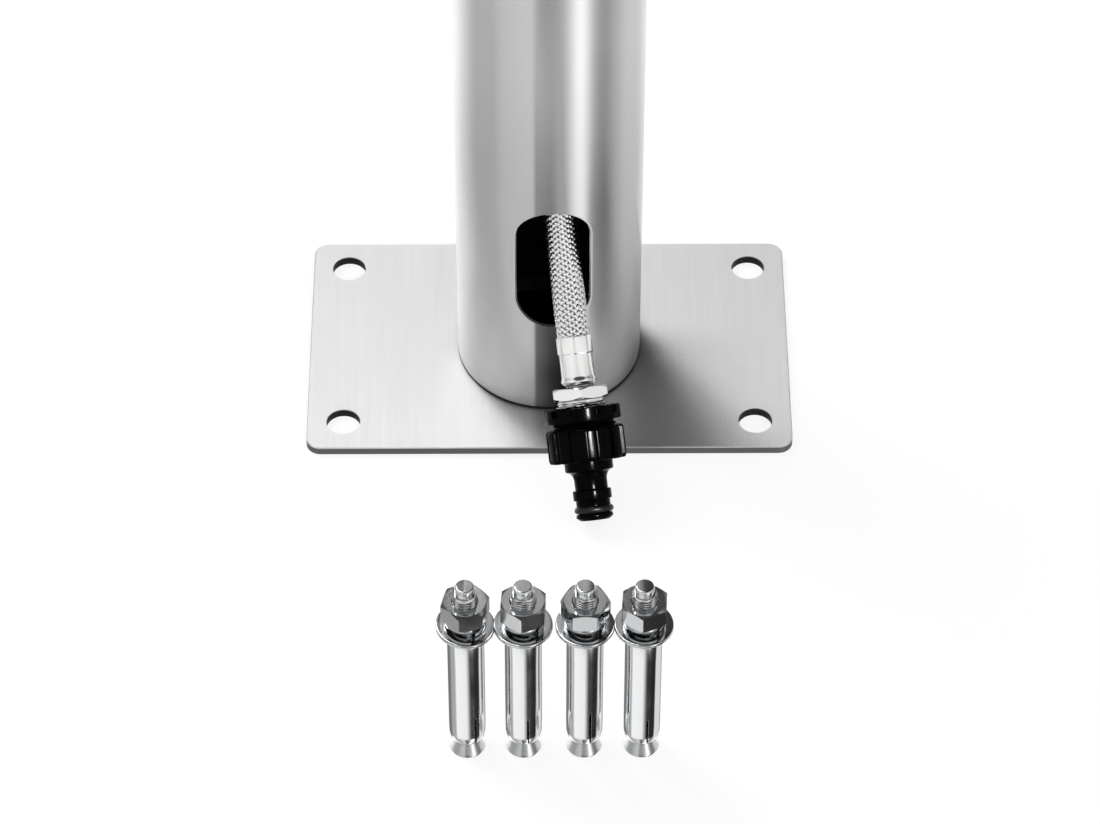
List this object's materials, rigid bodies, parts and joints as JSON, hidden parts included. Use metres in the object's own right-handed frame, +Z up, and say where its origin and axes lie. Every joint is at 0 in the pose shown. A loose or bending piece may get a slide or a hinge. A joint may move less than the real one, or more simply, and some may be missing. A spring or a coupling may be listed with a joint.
{
  "type": "garden shower",
  "caption": "Free-standing stainless garden shower: bolted foot plate, round column with a hose slot, braided inlet hose, lever stop valve, bent arm and a ball-jointed rain head.",
  "frame": {"origin": "centre of the four floor bolt holes, on the underside of the foot plate", "axes": "+Z up along the column, +Y towards the user and the shower head, -Y towards the hose slot"},
  "size_m": [0.2, 0.5402, 2.113],
  "materials": {
    "plate_steel": "straight brushed stainless steel",
    "column_steel": "satin stainless steel, brushed along the tube",
    "weld_steel": "ground weld",
    "cap_steel": "satin stainless steel",
    "polished_steel": "polished plated metal",
    "hose_braid": "rubber hose under a woven stainless steel braid",
    "ferrule_steel": "bright crimped stainless steel",
    "nickel": "nickel-plated brass",
    "black_plastic": "moulded black plastic with a soft gloss",
    "seal_rubber": "matt black rubber",
    "brass": "machined brass",
    "ceramic": "ground ceramic",
    "silicone": "grey silicone",
    "anchor_steel": "bright zinc-plated steel"
  },
  "bodies": {
    "root": {"base_plate": "plate_steel", "base_weld": "weld_steel", "column_tube": "column_steel", "top_cap": "cap_steel", "cap_ring": "seal_rubber", "inlet_hose": "hose_braid", "hose_ferrules": "ferrule_steel", "hose_thread_end": "nickel", "tap_adaptor": "black_plastic", "adaptor_washer": "seal_rubber", "hose_connector": "black_plastic", "connector_washer": "seal_rubber", "connector_o_ring": "seal_rubber", "hose_tail": "nickel", "hose_tail_washer": "seal_rubber", "hose_nut": "nickel", "valve_body": "brass", "valve_gasket": "seal_rubber", "valve_ring": "cap_steel", "valve_lock_nut": "polished_steel", "valve_seal": "seal_rubber", "fixed_disc": "ceramic", "valve_headwork": "brass", "riser_pipe": "column_steel", "riser_olives": "brass", "riser_nuts": "nickel", "arm_elbow": "brass", "arm_gasket": "seal_rubber", "arm_nut": "nickel", "shower_arm": "cap_steel", "arm_collar": "cap_steel", "swivel_washer": "seal_rubber", "swivel_nut": "polished_steel", "anchor_studs": "anchor_steel", "anchor_sleeves": "anchor_steel", "anchor_flat_washers": "anchor_steel", "anchor_spring_washers": "anchor_steel", "anchor_nuts": "anchor_steel"},
    "handle": {"valve_knob": "cap_steel", "valve_lever": "polished_steel", "knob_screw": "anchor_steel", "valve_spindle": "brass", "spindle_o_ring": "seal_rubber", "moving_disc": "ceramic"},
    "stem": {"ball_stem": "polished_steel"},
    "head": {"head_socket": "brass", "ball_seal": "seal_rubber", "ball_cap_nut": "polished_steel", "head_shell": "cap_steel", "head_face": "cap_steel", "nozzle_mat": "silicone"}
  },
  "joints": [
    {"name": "lever_turn", "type": "hinge", "parent": "root", "child": "handle", "pos_m": [0, 0.06, 1.05], "axis": [0, 1, 0], "range_deg": [0, 90]},
    {"name": "head_swivel", "type": "hinge", "parent": "root", "child": "stem", "pos_m": [0, 0.235, 1.95], "axis": [0, 0, 1], "continuous": true},
    {"name": "head_tilt", "type": "hinge", "parent": "stem", "child": "head", "pos_m": [0, 0.235, 1.95], "axis": [1, 0, 0], "range_deg": [-20, 20]}
  ]
}
